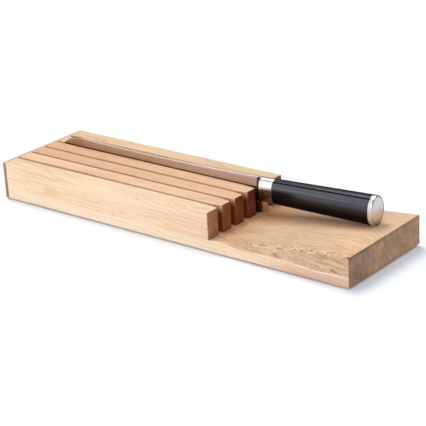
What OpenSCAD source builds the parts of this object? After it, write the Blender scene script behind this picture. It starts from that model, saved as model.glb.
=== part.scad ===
// Low knife tray in light wood: a slotted block with a ramp under the handles,
// and one slicing knife lying in the fourth slot from the front.
// +X runs along the tray towards the ramp's outer end, +Y to the rear, +Z up.
// The origin is on the resting surface, at the middle of the tray.

/* [Tray] */
// Overall length of the tray, closing strip included
tray_l = 382; // [340:1:440]
// Overall width of the tray
tray_w = 105; // [96:1:150]
// Height of the slotted block, underside to top
tray_h = 34.5; // [28:0.5:42]
// Length of the sloping ramp under the handles
ramp_l = 140.5; // [126:0.5:170]
// Thickness of the base board under the slots
floor_t = 10; // [7:0.5:14]
// Thickness of the base board at the ramp's outer end
ramp_h = 26.2; // [18:0.1:30]
// Rise of the ramp's middle above a straight slope
ramp_crown = 0.9; // [0:0.1:1.5]
// Thickness of the strip that closes the slots' blind ends
strip_t = 4.5; // [3:0.5:8]
// Radius of the closing strip's rear corner
corner_r = 3; // [1:0.5:6]

/* [Slots] */
// Slot that holds the knife, counted from the front
knife_slot = 4; // [1:1:5]
// Free space between the blade and each wall of its slot
blade_clear = 0.5; // [0.3:0.1:1]
// How far each wall draws back at a slot's mouth
mouth_flare = 1.9; // [1:0.1:2.5]
// Length over which a slot's mouth opens out
mouth_l = 18; // [10:1:30]

/* [Pads] */
// Diameter of a non-slip pad
pad_d = 10; // [6:1:16]
// Thickness of a non-slip pad
pad_t = 1.5; // [0.5:0.1:3]
// Distance from the tray's sides to a pad's rim
pad_inset = 8; // [4:1:20]

/* [Blade] */
// Height of the blade from edge to spine, at the heel
blade_h = 34.7; // [28:0.1:40]
// Depth of the shallow hollow that the spine makes between heel and tip
spine_dip = 2.8; // [0:0.1:4]
// Distance of the hollow's lowest place from the heel, as a share of the blade's length
dip_share = 0.53; // [0.5:0.01:0.7]
// Thickness of the blade at its spine and of the tang
blade_t = 2; // [1.5:0.1:3]
// Thickness left at the cutting edge
edge_t = 0.4; // [0.3:0.05:0.8]
// Height over which the blade thins down to its edge
grind_h = 17; // [10:0.5:18]
// Free length between the blade's tip and the closing strip
tip_gap = 2; // [1:0.5:20]
// Length over which the spine curves down to the tip
tip_run = 30; // [24:1:50]
// Height of the tip above the cutting edge
tip_rise = 17; // [10:0.5:20]
// Length over which the cutting edge curves up to the tip
belly_l = 55; // [20:1:90]

/* [Handle] */
// Length of the bolster's tapered shoulder
shoulder_l = 6.5; // [4:0.5:10]
// Length of the bolster behind its shoulder
bolster_l = 13.5; // [8:0.5:20]
// Width left on each side of the blade at the shoulder's thin end
shoulder_lip = 0.3; // [0.1:0.1:1]
// Length of the black grip
grip_l = 98.5; // [85:0.5:102]
// Length of the steel end cap
cap_l = 4; // [2:0.5:8]
// Width of the handle where the shoulder meets the bolster
front_w = 15; // [12:0.5:18]
// Height of the handle where the shoulder meets the bolster
front_h = 22.4; // [18:0.2:24]
// Width of the handle at the butt
butt_w = 19.6; // [16:0.2:22]
// Height of the handle at the butt
butt_h = 26.8; // [22:0.2:30]
// Height of the bolster's top above the spine
bolster_proud = 0.3; // [0:0.1:2]
// Height of the tang where it leaves the blade
tang_h = 12; // [8:0.5:14]
// Height of the tang at the end cap
tang_end_h = 8; // [5:0.5:8]
// Free space round the tang inside bolster and grip
tang_clear = 0.2; // [0.1:0.05:0.5]
// Bevel round the end cap's rim
cap_bevel = 0.6; // [0.2:0.1:1.5]

/* [Resting fits] */
// Free height between the cutting edge and the slot's floor
edge_gap = 0.3; // [0.1:0.1:0.6]
// Free height between the butt and the ramp
butt_gap = 0.3; // [0.3:0.1:3]
// Distance of the blade's heel inside the slot's mouth
heel_inset = 0.2; // [0.1:0.1:3]

/* [Hidden] */

slot_count = 5;
eps = 0.01;
round_fn = 96;

// Places along the tray
x_left = -tray_l / 2;
x_right = tray_l / 2;
x_step = x_right - ramp_l;
x_slot = x_left + strip_t;
x_mouth = x_step - mouth_l;
block_l = x_step - x_slot;

// Places across the tray: each slot's middle is one pitch further from the front
pitch = tray_w / (slot_count + 1);
kerf = blade_t + 2 * blade_clear;
divider_w = pitch - kerf;
rail_w = pitch - kerf / 2;
function slot_y(n) = -tray_w / 2 + n * pitch;

// Heights
z_floor = pad_t + floor_t;
z_top = pad_t + tray_h;
z_ramp = pad_t + ramp_h;
wall_h = z_top - z_floor;
ramp_steps = 24;
function ramp_z(x) =
  let (t = (x - x_step) / ramp_l)
    z_floor + (z_ramp - z_floor) * t + 4 * ramp_crown * t * (1 - t);

// A circle of this radius is tangent to a slot's wall and opens its mouth
mouth_r = (mouth_l * mouth_l + mouth_flare * mouth_flare) / (2 * mouth_flare);

// Blade: heel just inside the mouth, tip short of the closing strip
x_heel = x_step - heel_inset;
x_tip = x_slot + tip_gap;
z_edge = z_floor + edge_gap;
z_spine = z_edge + blade_h;
x_dip = x_heel - dip_share * (x_heel - x_tip);
function spine_z(x) = z_spine - spine_dip * (1 - pow((x - x_dip) / (x_heel - x_dip), 2));
z_tip = z_edge + tip_rise;
tip_drop = spine_z(x_tip) - z_tip;
tip_r = (tip_run * tip_run + tip_drop * tip_drop) / (2 * tip_drop);
tip_sweep = asin(tip_run / tip_r);
arc_steps = 24;
spine_steps = 16;

// Handle: its axis runs from the bolster's height to where the butt clears the ramp
x_bolster = x_heel + shoulder_l;
x_grip = x_bolster + bolster_l;
x_cap = x_grip + grip_l;
x_butt = x_cap + cap_l;
z_front = z_spine + bolster_proud - front_h / 2;
z_butt = ramp_z(x_butt) + butt_gap + butt_h / 2;
shoulder_w = blade_t + 2 * shoulder_lip;
// Its outline is fuller on the front side, where a ridge runs along it, and slimmer on the rear side
front_bow = 0.9;
rear_bow = 1.12;
ridge_at = 124;
ridge_half = 16;
ridge_proud = 1.015;
outline_steps = 60;
function along(x, front, butt) = front + (butt - front) * (x - x_bolster) / (x_butt - x_bolster);
function axis_z(x) = along(x, z_front, z_butt);
function tang_half(x) = (tang_h + (tang_end_h - tang_h) * (x - x_heel) / (x_cap - x_heel)) / 2;

wood_tan = [0.87, 0.70, 0.50];
wood_pale = [0.90, 0.75, 0.56];
wood_warm = [0.85, 0.66, 0.47];
wood_end = [0.72, 0.54, 0.38];
pad_grey = [0.25, 0.25, 0.26];
steel = [0.70, 0.70, 0.71];
bright_steel = [0.86, 0.86, 0.87];
grip_black = [0.06, 0.06, 0.07];

// ---- tray ----

// One plank: flat under the slots, rising as a slightly crowned ramp under the handles
module base_board() {
  ramp = [for (i = [ramp_steps:-1:0])
    let (x = x_step + ramp_l * i / ramp_steps)
      [x, ramp_z(x)]];
  color(wood_tan)
    translate([0, tray_w / 2, 0])
      rotate([90, 0, 0])
        linear_extrude(tray_w)
          polygon(concat([[x_slot, z_floor], [x_slot, pad_t], [x_right, pad_t]], ramp));
}

// Plan of an upright, its middle on y = 0: flared on its front side, its rear side or both
module upright_plan(w, flare_front, flare_rear) {
  translate([x_slot, -w / 2]) square([block_l - mouth_l, w]);
  intersection() {
    translate([x_mouth, -w / 2]) square([mouth_l, w]);
    if (flare_front) translate([x_mouth, mouth_r - w / 2]) circle(mouth_r, $fn = round_fn);
    if (flare_rear) translate([x_mouth, w / 2 - mouth_r]) circle(mouth_r, $fn = round_fn);
  }
}

module upright(y, w, flare_front, flare_rear) {
  translate([0, y, z_floor])
    linear_extrude(wall_h)
      upright_plan(w, flare_front, flare_rear);
}

module front_rail() {
  color(wood_pale) upright((rail_w - tray_w) / 2, rail_w, false, true);
}

module back_rail() {
  color(wood_pale) upright((tray_w - rail_w) / 2, rail_w, true, false);
}

// The divider behind slot n
module divider(n) {
  color(n % 2 == 0 ? wood_warm : wood_tan) upright(slot_y(n + 0.5), divider_w, true, true);
}

// Closes the slots' blind ends; its rear corner is rounded
module end_strip() {
  color(wood_end)
    translate([x_left, -tray_w / 2, pad_t])
      linear_extrude(tray_h) {
        square([strip_t, tray_w - corner_r]);
        translate([corner_r, tray_w - corner_r]) square([strip_t - corner_r, corner_r]);
        intersection() {
          translate([0, tray_w - corner_r]) square([corner_r, corner_r]);
          translate([corner_r, tray_w - corner_r]) circle(corner_r, $fn = round_fn);
        }
      }
}

// Four pads near the corners of the underside
module non_slip_pads() {
  pad_x = tray_l / 2 - pad_inset - pad_d / 2;
  pad_y = tray_w / 2 - pad_inset - pad_d / 2;
  color(pad_grey)
    for (sx = [-1, 1], sy = [-1, 1])
      translate([sx * pad_x, sy * pad_y, 0])
        cylinder(h = pad_t, d = pad_d, $fn = round_fn);
}

// ---- knife ----

// Turns a side view drawn in X and Z into a plate centred on the knife's slot
module knife_plate(t) {
  translate([0, slot_y(knife_slot) + t / 2, 0])
    rotate([90, 0, 0])
      linear_extrude(t)
        children();
}

// Side view of the blade: a slightly hollow spine that ends in an arc down to the tip, and an
// edge that rises to meet it
module blade_side() {
  x_arc = x_tip + tip_run;
  spine = [for (i = [0:spine_steps])
    let (x = x_heel + (x_arc - x_heel) * i / spine_steps)
      [x, spine_z(x)]];
  point = [for (i = [1:arc_steps])
    let (a = tip_sweep * i / arc_steps, x = x_arc - tip_r * sin(a))
      [x, spine_z(x) - tip_r * (1 - cos(a))]];
  belly = [for (i = [1:arc_steps])
    let (u = i / arc_steps)
      [x_tip + belly_l * u, z_edge + tip_rise * (1 - u) * (1 - u)]];
  polygon(concat([[x_heel, z_edge]], spine, point, belly));
}

// Side view of the tang, which follows the handle's axis; clear widens it all round
module tang_side(clear) {
  x_end = x_cap + clear;
  polygon([
    [x_heel - clear, axis_z(x_heel) - tang_half(x_heel) - clear],
    [x_end, axis_z(x_end) - tang_half(x_cap) - clear],
    [x_end, axis_z(x_end) + tang_half(x_cap) + clear],
    [x_heel - clear, axis_z(x_heel) + tang_half(x_heel) + clear]
  ]);
}

// Blade and tang are one plate, thinned towards the cutting edge
module knife_blade() {
  z_grind = z_edge + grind_h;
  color(steel)
    intersection() {
      knife_plate(blade_t) {
        blade_side();
        tang_side(0);
      }
      translate([x_left, slot_y(knife_slot), 0])
        rotate([90, 0, 90])
          linear_extrude(tray_l)
            polygon([
              [-edge_t / 2, z_edge], [edge_t / 2, z_edge], [blade_t / 2, z_grind],
              [blade_t / 2, z_spine], [-blade_t / 2, z_spine], [-blade_t / 2, z_grind]
            ]);
    }
}

// Point of the handle's outline in Y and Z at an angle from +Y
function bowed(v, bow) = sign(v) * pow(abs(v), bow);
function outline_point(w, h, a) =
  let (bow = cos(a) < 0 ? front_bow : rear_bow)
    [w / 2 * bowed(cos(a), bow), h / 2 * bowed(sin(a), bow)];

// Outline of the handle: an oval with one ridge where two flats meet
module handle_outline(w, h) {
  sweep = 360 - 2 * ridge_half;
  oval = [for (i = [0:outline_steps])
    outline_point(w, h, ridge_at + ridge_half + sweep * i / outline_steps)];
  ridge = ridge_proud * outline_point(w, h, ridge_at);
  polygon(concat(oval, [ridge]));
}

// A thin slice of the handle at x, shrunk by inset; it lies on the +X side if ahead is 1
module handle_slice(x, inset, ahead) {
  translate([x - (1 - ahead) * eps, slot_y(knife_slot), axis_z(x)])
    rotate([90, 0, 90])
      linear_extrude(eps)
        handle_outline(along(x, front_w, butt_w) - 2 * inset, along(x, front_h, butt_h) - 2 * inset);
}

module handle_run(x0, x1) {
  hull() {
    handle_slice(x0, 0, 1);
    handle_slice(x1, 0, 0);
  }
}

module tang_channel() {
  knife_plate(blade_t + 2 * tang_clear) tang_side(tang_clear);
}

// Steel collar: a shoulder that swells from the blade, then the handle's own outline
module knife_bolster() {
  color(bright_steel)
    difference() {
      union() {
        hull() {
          translate([x_heel, slot_y(knife_slot) - shoulder_w / 2, z_spine - front_h])
            cube([eps, shoulder_w, front_h]);
          handle_slice(x_bolster, 0, 0);
        }
        handle_run(x_bolster, x_grip);
      }
      tang_channel();
    }
}

module knife_handle() {
  color(grip_black)
    difference() {
      handle_run(x_grip, x_cap);
      tang_channel();
    }
}

// Steel cap that closes the handle's end, its rim bevelled
module knife_end_cap() {
  color(bright_steel)
    hull() {
      handle_slice(x_cap, 0, 1);
      handle_slice(x_butt - cap_bevel, 0, 0);
      handle_slice(x_butt, cap_bevel, 0);
    }
}

base_board();
front_rail();
divider(1);  // divider_1
divider(2);  // divider_2
divider(3);  // divider_3
divider(4);  // divider_4
back_rail();
end_strip();
non_slip_pads();
knife_blade();
knife_bolster();
knife_handle();
knife_end_cap();
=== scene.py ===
"""A low wooden knife tray and its slicing knife: shapes, finishes, light and camera.

+X runs along the tray towards the ramp's outer end, +Y to the rear and +Z up. Lengths in the
dataclasses are in millimetres, and the meshes are in metres. Colours are linear.
"""

import logging
import math
from collections.abc import Callable
from dataclasses import dataclass, field, replace
from enum import Enum, IntEnum

import bmesh
import bpy
import numpy as np
from mathutils import Matrix, Vector


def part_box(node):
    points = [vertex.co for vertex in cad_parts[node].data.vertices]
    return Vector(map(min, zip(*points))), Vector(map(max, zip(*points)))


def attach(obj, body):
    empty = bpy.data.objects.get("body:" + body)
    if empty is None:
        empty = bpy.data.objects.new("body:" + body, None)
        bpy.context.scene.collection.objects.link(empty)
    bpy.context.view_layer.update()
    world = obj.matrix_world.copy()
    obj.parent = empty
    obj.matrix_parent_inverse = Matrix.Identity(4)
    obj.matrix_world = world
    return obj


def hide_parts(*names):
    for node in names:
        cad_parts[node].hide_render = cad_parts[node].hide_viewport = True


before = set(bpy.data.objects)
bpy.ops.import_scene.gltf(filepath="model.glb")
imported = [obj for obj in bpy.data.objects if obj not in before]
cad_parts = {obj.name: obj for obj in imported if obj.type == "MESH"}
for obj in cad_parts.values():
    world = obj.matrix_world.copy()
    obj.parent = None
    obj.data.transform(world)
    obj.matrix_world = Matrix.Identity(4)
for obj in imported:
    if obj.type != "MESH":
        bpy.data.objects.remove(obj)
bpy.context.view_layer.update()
MM = 0.001
Colour = tuple[float, float, float]
WHITE: Colour = (1.0, 1.0, 1.0)
log = logging.getLogger("knife_tray")


class Axis(IntEnum):
    """An axis of the shared frame."""

    X = 0
    Y = 1
    Z = 2


# ---------------------------------------------------------------- shader wiring


class Wire:
    """One socket of a material, with arithmetic that adds Math nodes."""

    def __init__(self, graph: "Graph", socket: bpy.types.NodeSocket) -> None:
        """Keeps the socket and the graph that it belongs to."""
        self.graph = graph
        self.socket = socket

    def _maths(self, operation: str, *values: "Wire | float") -> "Wire":
        """Adds a Math node of that operation on the values."""
        return self.graph.add("ShaderNodeMath", {"operation": operation}, dict(enumerate(values)))

    def __add__(self, other: "Wire | float") -> "Wire":
        """self + other."""
        return self._maths("ADD", self, other)

    __radd__ = __add__

    def __mul__(self, other: "Wire | float") -> "Wire":
        """self * other."""
        return self._maths("MULTIPLY", self, other)

    __rmul__ = __mul__

    def __sub__(self, other: "Wire | float") -> "Wire":
        """self - other."""
        return self._maths("SUBTRACT", self, other)

    def __rsub__(self, other: "Wire | float") -> "Wire":
        """other - self."""
        return self._maths("SUBTRACT", other, self)

    def __truediv__(self, other: "Wire | float") -> "Wire":
        """self / other."""
        return self._maths("DIVIDE", self, other)

    def sine(self) -> "Wire":
        """Sine of the value."""
        return self._maths("SINE", self)

    def root(self) -> "Wire":
        """Square root of the value."""
        return self._maths("SQRT", self)

    def size(self) -> "Wire":
        """The value without its sign."""
        return self._maths("ABSOLUTE", self)

    def saw(self) -> "Wire":
        """The part of the value after its decimal point."""
        return self._maths("FRACT", self)

    def rise(self, low: float, high: float) -> "Wire":
        """A smooth step.

        Args:
            low: where it is 0.
            high: where it is 1; where low is the larger, the step falls.

        Returns:
            A share from 0 to 1.
        """
        if low > high:
            return 1.0 - self.rise(high, low)
        settings = {"interpolation_type": "SMOOTHSTEP"}
        return self.graph.add("ShaderNodeMapRange", settings, {0: self, 1: low, 2: high, 3: 0.0, 4: 1.0})


class Graph:
    """The node tree of one material or of the world."""

    def __init__(self, tree: bpy.types.NodeTree) -> None:
        """Starts with an empty tree."""
        self.tree = tree
        tree.nodes.clear()

    def add(self, kind: str, settings: dict | None = None, values: dict | None = None,
            out: int | str = 0) -> Wire:
        """Adds any node.

        Args:
            kind: the node's type.
            settings: its own settings, set before its sockets.
            values: numbers, colours or wires for its sockets, by index or by name.
            out: which output to hand back, by index or by name.

        Returns:
            The chosen output.
        """
        node = self.tree.nodes.new(kind)
        for name, value in (settings or {}).items():
            setattr(node, name, value)
        for key, value in (values or {}).items():
            if isinstance(value, Wire):
                self.tree.links.new(value.socket, node.inputs[key])
            else:
                node.inputs[key].default_value = value
        return Wire(self, node.outputs[out] if node.outputs else None)

    def place(self) -> tuple[Wire, Wire, Wire]:
        """X, Y and Z of the shaded point in the piece's own coordinates.

        Returns:
            Three lengths in millimetres.
        """
        point = self.add("ShaderNodeTexCoord", out="Object")
        node = self.add("ShaderNodeSeparateXYZ", values={0: point}).socket.node
        return tuple(Wire(self, node.outputs[axis]) / MM for axis in Axis)

    def noise(self, x: Wire | float, y: Wire | float, z: Wire | float,
              detail: float, rough: float, bend: float = 0.0) -> Wire:
        """Smooth noise, with about one wave per unit along each axis.

        Args:
            x: first coordinate; a length times a small number draws the noise out along it.
            y: second coordinate.
            z: third coordinate.
            detail: how many finer layers are added.
            rough: how strong each finer layer is.
            bend: how far the noise is distorted.

        Returns:
            A value round 0.5.
        """
        point = self.add("ShaderNodeCombineXYZ", values={0: x, 1: y, 2: z})
        values = {"Vector": point, "Scale": 1.0, "Detail": detail, "Roughness": rough, "Distortion": bend}
        return self.add("ShaderNodeTexNoise", None, values)

    def blend(self, share: Wire | float, first: Wire | Colour, second: Wire | Colour,
              how: str = "MIX") -> Wire:
        """Mixes two colours.

        Args:
            share: 0 for the first colour alone, 1 for the full mix.
            first: the lower colour.
            second: the upper colour.
            how: the way they mix.

        Returns:
            The mixed colour.
        """
        colours = [c if isinstance(c, Wire) else (*c, 1.0) for c in (first, second)]
        settings = {"data_type": "RGBA", "blend_type": how}
        return self.add("ShaderNodeMix", settings, {0: share, 6: colours[0], 7: colours[1]}, out=2)

    def tinted(self, colour: Wire, tint: Wire | Colour, share: Wire) -> Wire:
        """The colour times a tint, by a share from 0 to 1."""
        return self.blend(share, colour, self.blend(1.0, colour, tint, "MULTIPLY"))

    def bump(self, height: Wire, strength: float, depth_mm: float) -> Wire:
        """A normal that follows a height from 0 to 1."""
        values = {"Strength": strength, "Distance": depth_mm * MM, "Height": height}
        return self.add("ShaderNodeBump", None, values)


def finish_material(name: str, build: Callable[[Graph], dict]) -> bpy.types.Material:
    """Makes a material whose Principled sockets are what build returns for its graph.

    Args:
        name: the material's name.
        build: takes the graph and returns {socket name: number, colour or wire}.

    Returns:
        The material.
    """
    material = bpy.data.materials.new(name)
    material.use_nodes = True
    graph = Graph(material.node_tree)
    shader = graph.add("ShaderNodeBsdfPrincipled", None, build(graph))
    graph.add("ShaderNodeOutputMaterial", None, {0: shader})
    return material


def scaled(colour: Colour, by: float) -> Colour:
    """A colour with each part times a number."""
    return tuple(part * by for part in colour)


# ---------------------------------------------------------------- finishes


@dataclass(frozen=True)
class Finish:
    """A named finish; each kind says what its shader's sockets get."""

    name: str

    def sockets(self, g: Graph) -> dict:
        """Socket names with their numbers, colours or wires."""
        raise NotImplementedError

    def make(self) -> bpy.types.Material:
        """The finish as a material."""
        return finish_material(self.name, self.sockets)


class Cut(Enum):
    """How a board was sawn from its log."""

    LONG = "grain along the tray, with long arches on the board's top"
    CROSS = "grain across the tray"


@dataclass(frozen=True)
class Knot:
    """A small knot in a board's front face: its middle, its half length and half height, in mm."""

    x: float
    z: float
    half_l: float
    half_h: float


@dataclass(frozen=True)
class Fade:
    """A tint that comes in along one axis: none at start, all at full, none again at gone, in mm."""

    axis: Axis
    start: float
    full: float
    tint: Colour
    gone: float | None = None

    def over(self, g: Graph, colour: Wire, place: tuple[Wire, Wire, Wire]) -> Wire:
        """Puts the tint on a colour.

        Args:
            g: the material's graph.
            colour: what is tinted.
            place: the shaded point, in millimetres.

        Returns:
            The colour with the tint.
        """
        share = place[self.axis].rise(self.start, self.full)
        if self.gone is not None:
            share = share * place[self.axis].rise(self.gone, self.full)
        return g.tinted(colour, self.tint, share)


@dataclass(frozen=True)
class Wood(Finish):
    """Oiled light wood. Lengths are in millimetres.

    The rings are cylinders round an axis that lies below the board and leans and sways along
    it, so a level cut shows long arches: ring number = distance from the axis / spacing.
    """

    # places in the tray
    front_y: float                 # the tray's front face
    top_z: float                   # the top over the slots
    end_at: float                  # this board's right end
    # the board
    cut: Cut = Cut.LONG
    seed: float = 0.0              # gives each board its own grain
    # colours
    pale: Colour = (0.81, 0.60, 0.41)
    deep: Colour = (0.62, 0.375, 0.225)
    blush: Colour = (0.81, 0.49, 0.30)
    knot_tone: Colour = (0.68, 0.33, 0.17)
    heart: Colour | None = None    # tint of the heartwood
    fades: tuple[Fade, ...] = ()
    # growth rings
    axis_y: float = -18.0
    axis_z: float = -46.0
    lean_y: float = 0.03           # how fast the axis leaves the board, per mm along it
    lean_z: float = 0.05
    sway: float = 0.0              # how far it swings up and down
    spacing: float = 4.2           # thickness of a ring
    ring_depth: float = 0.36       # how dark late wood is
    # pores and knots
    pore_depth: float = 0.26       # how dark pores are
    pore_tint: Colour = (0.66, 0.56, 0.48)
    slant: float = 0.0             # how far pores run aslant, per mm along the grain
    knots: tuple[Knot, ...] = ()
    # sawn end
    end_tone: Colour = (0.388, 0.216, 0.121)
    end_fades: tuple[Fade, ...] = ()
    # painted shade on the slot walls
    mouth_shade: Colour | None = None    # painted shade at the slot's mouth
    slot_shade: Colour = (0.45, 0.22, 0.10)    # painted shade in the narrow slot
    outer: bool = False            # one side is the tray's outside

    @property
    def _shift(self) -> float:
        """Where this board lies in the noise, far from its neighbours."""
        return self.seed * 37.0

    def _knot_field(self, x: Wire, z: Wire) -> Wire | float:
        """Where the knots are: each falls off with (dx / half length)^2 + (dz / half height)^2.

        Args:
            x: length along the tray.
            z: height.

        Returns:
            Share of knot.
        """
        total = 0.0
        for knot in self.knots:
            dx, dz = (x - knot.x) / knot.half_l, (z - knot.z) / knot.half_h
            total = (dx * dx + dz * dz).rise(2.2, 0.0) + total
        return total

    def _rings(self, g: Graph, along: Wire, across: Wire, z: Wire, knots: Wire | float) -> Wire:
        """Growth rings: a slow climb and a sharp fall, once per ring, stronger in some places.

        Args:
            g: the material's graph.
            along: length along the grain.
            across: length across it.
            z: height.
            knots: share of knot, which pushes the rings outwards.

        Returns:
            Share of late wood.
        """
        wander = g.noise(along * 0.014 + self._shift, across * 0.03, z * 0.03, 3.0, 0.5)
        strayed = (wander - 0.5) * 16.0
        swing = (along * 0.1 - 12.3).sine() * (across * 0.02 + 1.04) * self.sway if self.sway else 0.0
        dy = across - self.axis_y + along * self.lean_y + strayed
        dz = z - self.axis_z + along * self.lean_z + strayed + swing
        ripple = g.noise(along * 0.035, across * 0.16, z * 0.16 + self._shift, 3.0, 0.6)
        rings = ((dy * dy + dz * dz).root() + (ripple - 0.5) * 4.0 + knots * 5.0) / self.spacing
        weight = g.noise(along * 0.01 + self._shift, across * 0.06, z * 0.09, 2.0, 0.5).rise(0.3, 0.7)
        turn = rings.saw()
        return turn.rise(0.35, 0.97) * turn.rise(1.0, 0.95) * (weight * 0.8 + 0.2)

    def _heartwood(self, g: Graph, colour: Wire, x: Wire, y: Wire, z: Wire) -> Wire:
        """Darker wood above a wavy boundary that falls to the rear, and the tones round it, with painted
        warm bounce light beside the slots and a painted shadow under the grip.

        Args:
            g: the material's graph.
            colour: the plain wood.
            x: length along the tray.
            y: length across it.
            z: height.

        Returns:
            The wood with heartwood, sapwood, dark dashes and that painted light and shade.
        """
        wave = g.noise(x * 0.018, y * 0.02, 4.2, 2.0, 0.5) * 9.0
        over = z - (wave + 4.6 - y * 0.07 - x.rise(50.0, 110.0) * 2.4)
        inside = over.rise(-0.7, 1.0)
        tone = g.noise(x * 0.02, y * 0.05, 1.7, 3.0, 0.55)
        heart = g.blend(tone.rise(0.3, 0.7), scaled(self.heart, 0.94), scaled(self.heart, 1.05))
        colour = g.tinted(colour, heart, inside)
        face = y.rise(self.front_y + 1.1, self.front_y + 0.3)
        colour = self._sapwood_and_painted_light(g, colour, x, over, face)
        # painted warm bounce light on the ramp beside the slots' ends, in the step's shade
        painted_bounce_by_slots = x.rise(88.0, 50.0) * inside
        colour = g.tinted(colour, (1.10, 0.94, 0.79), painted_bounce_by_slots)
        # painted shadow of the grip on the ramp, darker and warmer
        painted_grip_shadow = x.rise(54.0, 64.0) * x.rise(178.0, 140.0) * y.rise(-4.0, 6.0) * y.rise(32.0, 24.0)
        colour = g.tinted(colour, (0.95, 0.80, 0.70), painted_grip_shadow)
        pale_line = over.rise(-1.5, -0.8) * over.rise(0.2, -0.4) * face * x.rise(80.0, 110.0)
        colour = g.blend(pale_line * tone.rise(0.35, 0.6) * 0.6, colour, (0.97, 0.80, 0.62))
        flecked = (y + tone * 10.0).rise(-37.0, -46.0) * x.rise(62.0, 112.0) * over.rise(-0.5, 1.5)
        colour = g.tinted(colour, (1.13, 1.13, 1.11), flecked)
        return g.blend(self._dashes(g, x, y, z) * flecked, colour, (0.28, 0.135, 0.06))

    def _sapwood_and_painted_light(self, g: Graph, colour: Wire, x: Wire, over: Wire, face: Wire) -> Wire:
        """Straw-coloured wood under the boundary on the front face.

        Towards the outer end the face gets darker, and the ramp lighter with painted light.

        Args:
            g: the material's graph.
            colour: the wood so far.
            x: length along the tray.
            over: height over the boundary.
            face: 1 on the front face, 0 on the ramp.

        Returns:
            The wood with its sapwood and that painted light.
        """
        left, right = x.rise(-190.0, -60.0) * 0.25 + 0.75, x.rise(165.0, 60.0) * 0.7 + 0.3
        sap = over.rise(2.5, -2.5) * face * left * right
        colour = g.blend(sap * 0.45, colour, (0.87, 0.73, 0.54))
        colour = g.tinted(colour, (0.84, 0.80, 0.80), x.rise(95.0, 165.0) * face)
        # painted light on the ramp towards its outer end
        return g.tinted(colour, (1.16, 1.13, 1.12), x.rise(110.0, 180.0) * (1.0 - face))

    def _dashes(self, g: Graph, x: Wire, y: Wire, z: Wire) -> Wire:
        """Short dark dashes that fall along the tray, with fainter level lines.

        Args:
            g: the material's graph.
            x: length along the tray.
            y: length across it.
            z: height.

        Returns:
            Share of dark wood.
        """
        slide = z + x * 0.13
        dash = g.noise(x * 0.07, y * 0.40, slide * 1.55 + x * 0.03, 1.5, 0.6).rise(0.545, 0.58)
        line = g.noise(x * 0.03, y * 0.2, z * 1.6, 2.0, 0.6).rise(0.5, 0.66)
        return dash + line * 0.10

    def _wall_shade(self, g: Graph, colour: Wire, x: Wire, y: Wire, z: Wire) -> Wire:
        """Painted shade on the slot walls: dark from the top down in the narrow slot, darker with depth at
        its mouth.

        Args:
            g: the material's graph.
            colour: the plain wood.
            x: length along the tray.
            y: length across it.
            z: height.

        Returns:
            The wood with painted shade on its walls.
        """
        narrow = x.rise(self.end_at - 3.0, self.end_at - 9.0)
        top = self.top_z
        depth = z.rise(top - 0.7, top - 1.5) * narrow + z.rise(top + 0.2, top - 8.0) * (1.0 - narrow)
        if self.outer:
            half_w = abs(self.front_y)
            depth = depth * y.size().rise(half_w - 0.5, half_w - 1.1)
        return g.tinted(colour, g.blend(narrow, self.mouth_shade, self.slot_shade), depth)

    def _end_grain(self, g: Graph, place: tuple[Wire, Wire, Wire], late: Wire) -> Wire:
        """The sawn end: dark, with upright streaks and open pores.

        Args:
            g: the material's graph.
            place: the shaded point, where Y runs across the sawn face.
            late: share of late wood.

        Returns:
            The end's colour.
        """
        _, y, z = place
        lean = y + z * 0.25
        streak = g.noise(lean * 0.20, z * 0.06 + self._shift, 0.0, 4.0, 0.62, 0.3)
        patch = g.noise(lean * 0.06 + self._shift, z * 0.08, 3.0, 3.0, 0.6)
        dots = g.noise(y * 1.1, z * 0.45, self._shift, 2.0, 0.6).rise(0.52, 0.66)
        shade = (streak + patch * 1.2 - 0.62 + late * 0.10).rise(0.15, 0.85)
        end = g.blend(shade, scaled(self.end_tone, 0.77), scaled(self.end_tone, 1.32))
        end = g.blend(dots * 0.22, end, scaled(self.end_tone, 0.5))
        for fade in self.end_fades:
            end = fade.over(g, end, place)
        return end

    def sockets(self, g: Graph) -> dict:
        """Rings, streaks, fibres and pores along the grain; darker on the sawn end, with painted shade in
        the slots.

        Args:
            g: the material's graph.

        Returns:
            What the shader's sockets get.
        """
        x, y, z = g.place()
        along, across = (x, y) if self.cut is Cut.LONG else (y, x)
        knots = self._knot_field(x, z)
        late = self._rings(g, along, across, z, knots)
        streak = g.noise(along * 0.014 + self._shift, across * 0.55, z * 0.55, 4.0, 0.6)
        fibre = g.noise(along * 0.07, across * 2.4, z * 2.4 + self._shift, 3.0, 0.65)
        tone = g.noise(along * 0.008, across * 0.05 + self._shift, z * 0.07, 2.0, 0.5)
        shade = (late * self.ring_depth + (streak - 0.5) * 1.1 + (tone - 0.5) * 1.3
                 + (fibre - 0.5) * 0.9 + 0.30)
        colour = g.blend(shade.rise(0.0, 1.0), self.pale, self.deep)

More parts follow.
